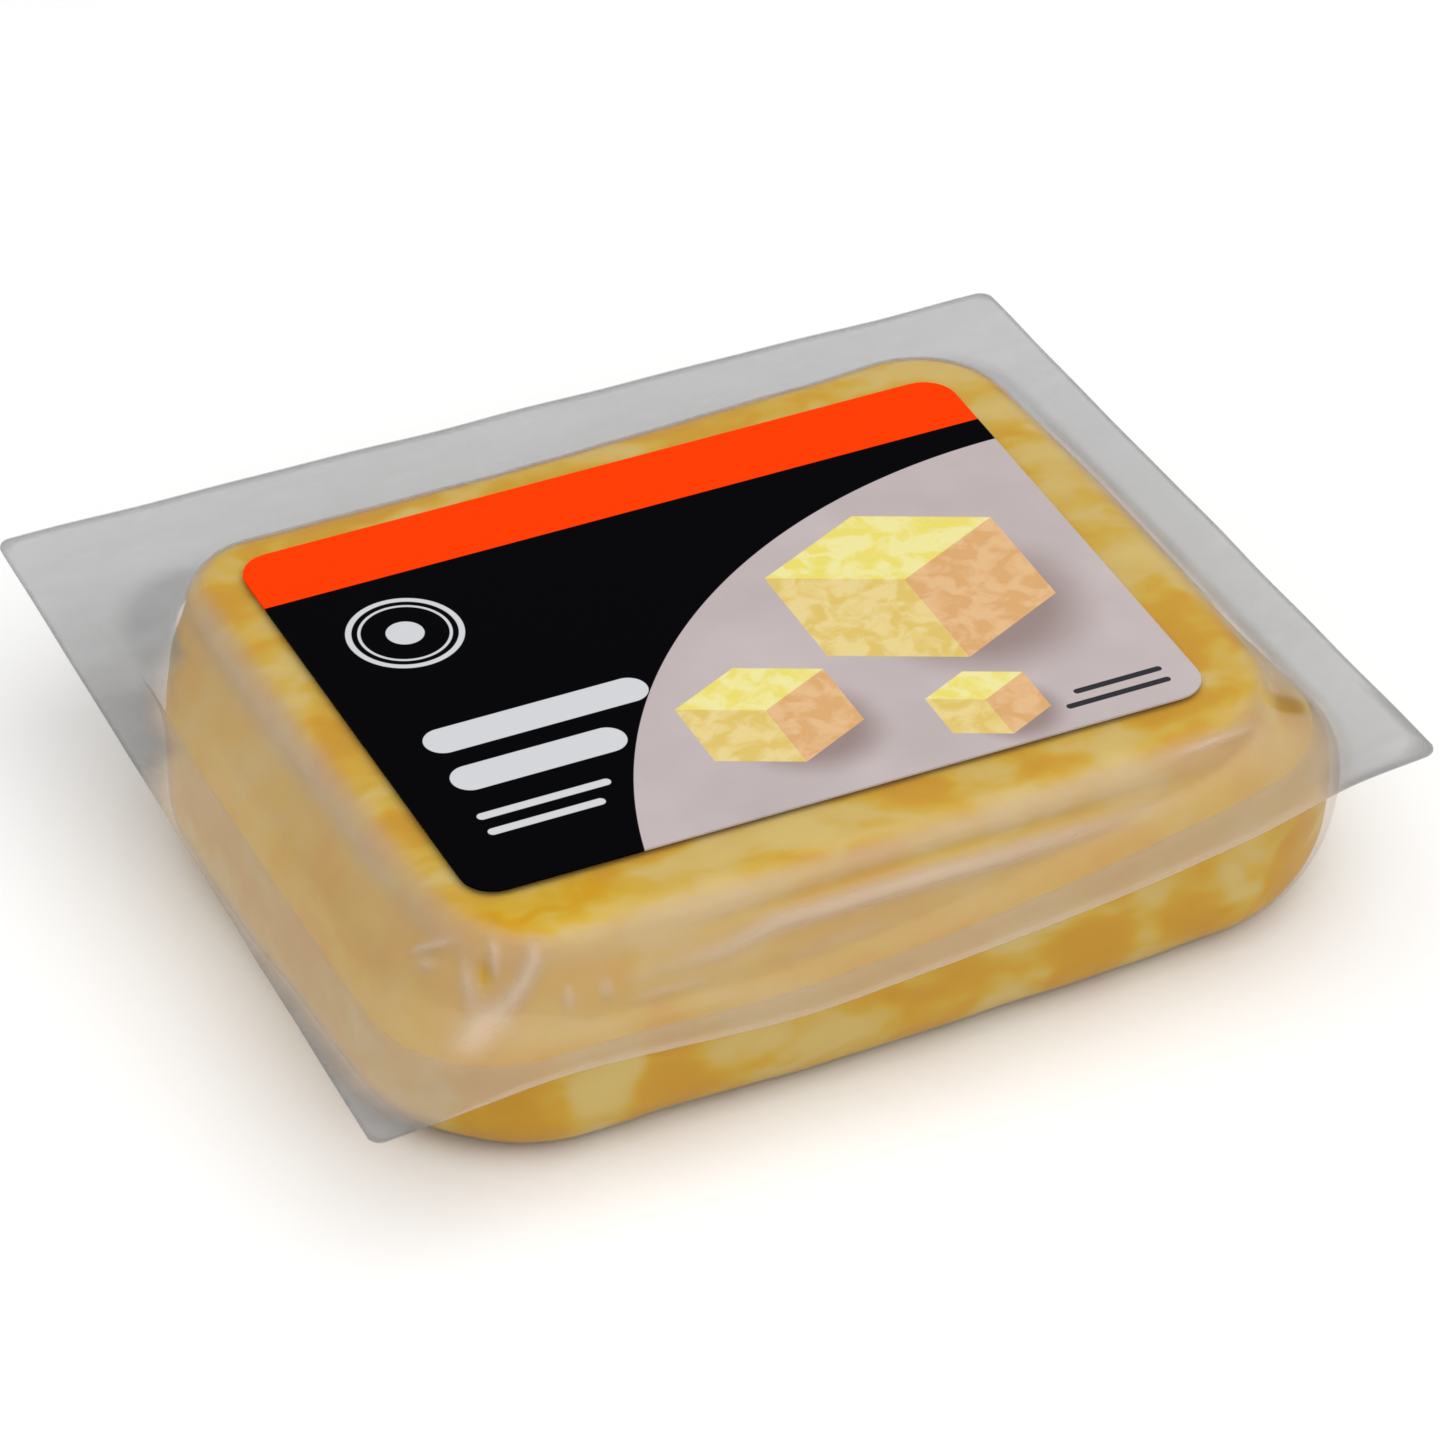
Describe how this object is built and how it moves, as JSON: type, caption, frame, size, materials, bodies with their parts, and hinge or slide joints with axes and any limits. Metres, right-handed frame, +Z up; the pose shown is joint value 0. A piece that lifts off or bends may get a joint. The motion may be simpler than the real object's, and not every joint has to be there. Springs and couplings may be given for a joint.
{
  "type": "vacuum-packed cheese block",
  "caption": "Rounded block of marbled cheddar in tight clear film with a wide flat sealed edge and a label on its top face.",
  "frame": {"origin": "on the resting plane, at the middle of the pack's length and depth", "axes": "+X along the long side towards the right end, +Y towards the back long edge, +Z up through the label"},
  "size_m": [0.1283, 0.113, 0.0311],
  "materials": {
    "marbled_cheese": "marbled yellow cheese under tight clear film",
    "clear_film": "clear, slightly milky film",
    "printed_label": "printed, smooth"
  },
  "bodies": {
    "root": {"cheese_block": "marbled_cheese", "film_flange": "clear_film", "label": "printed_label"}
  },
  "joints": []
}
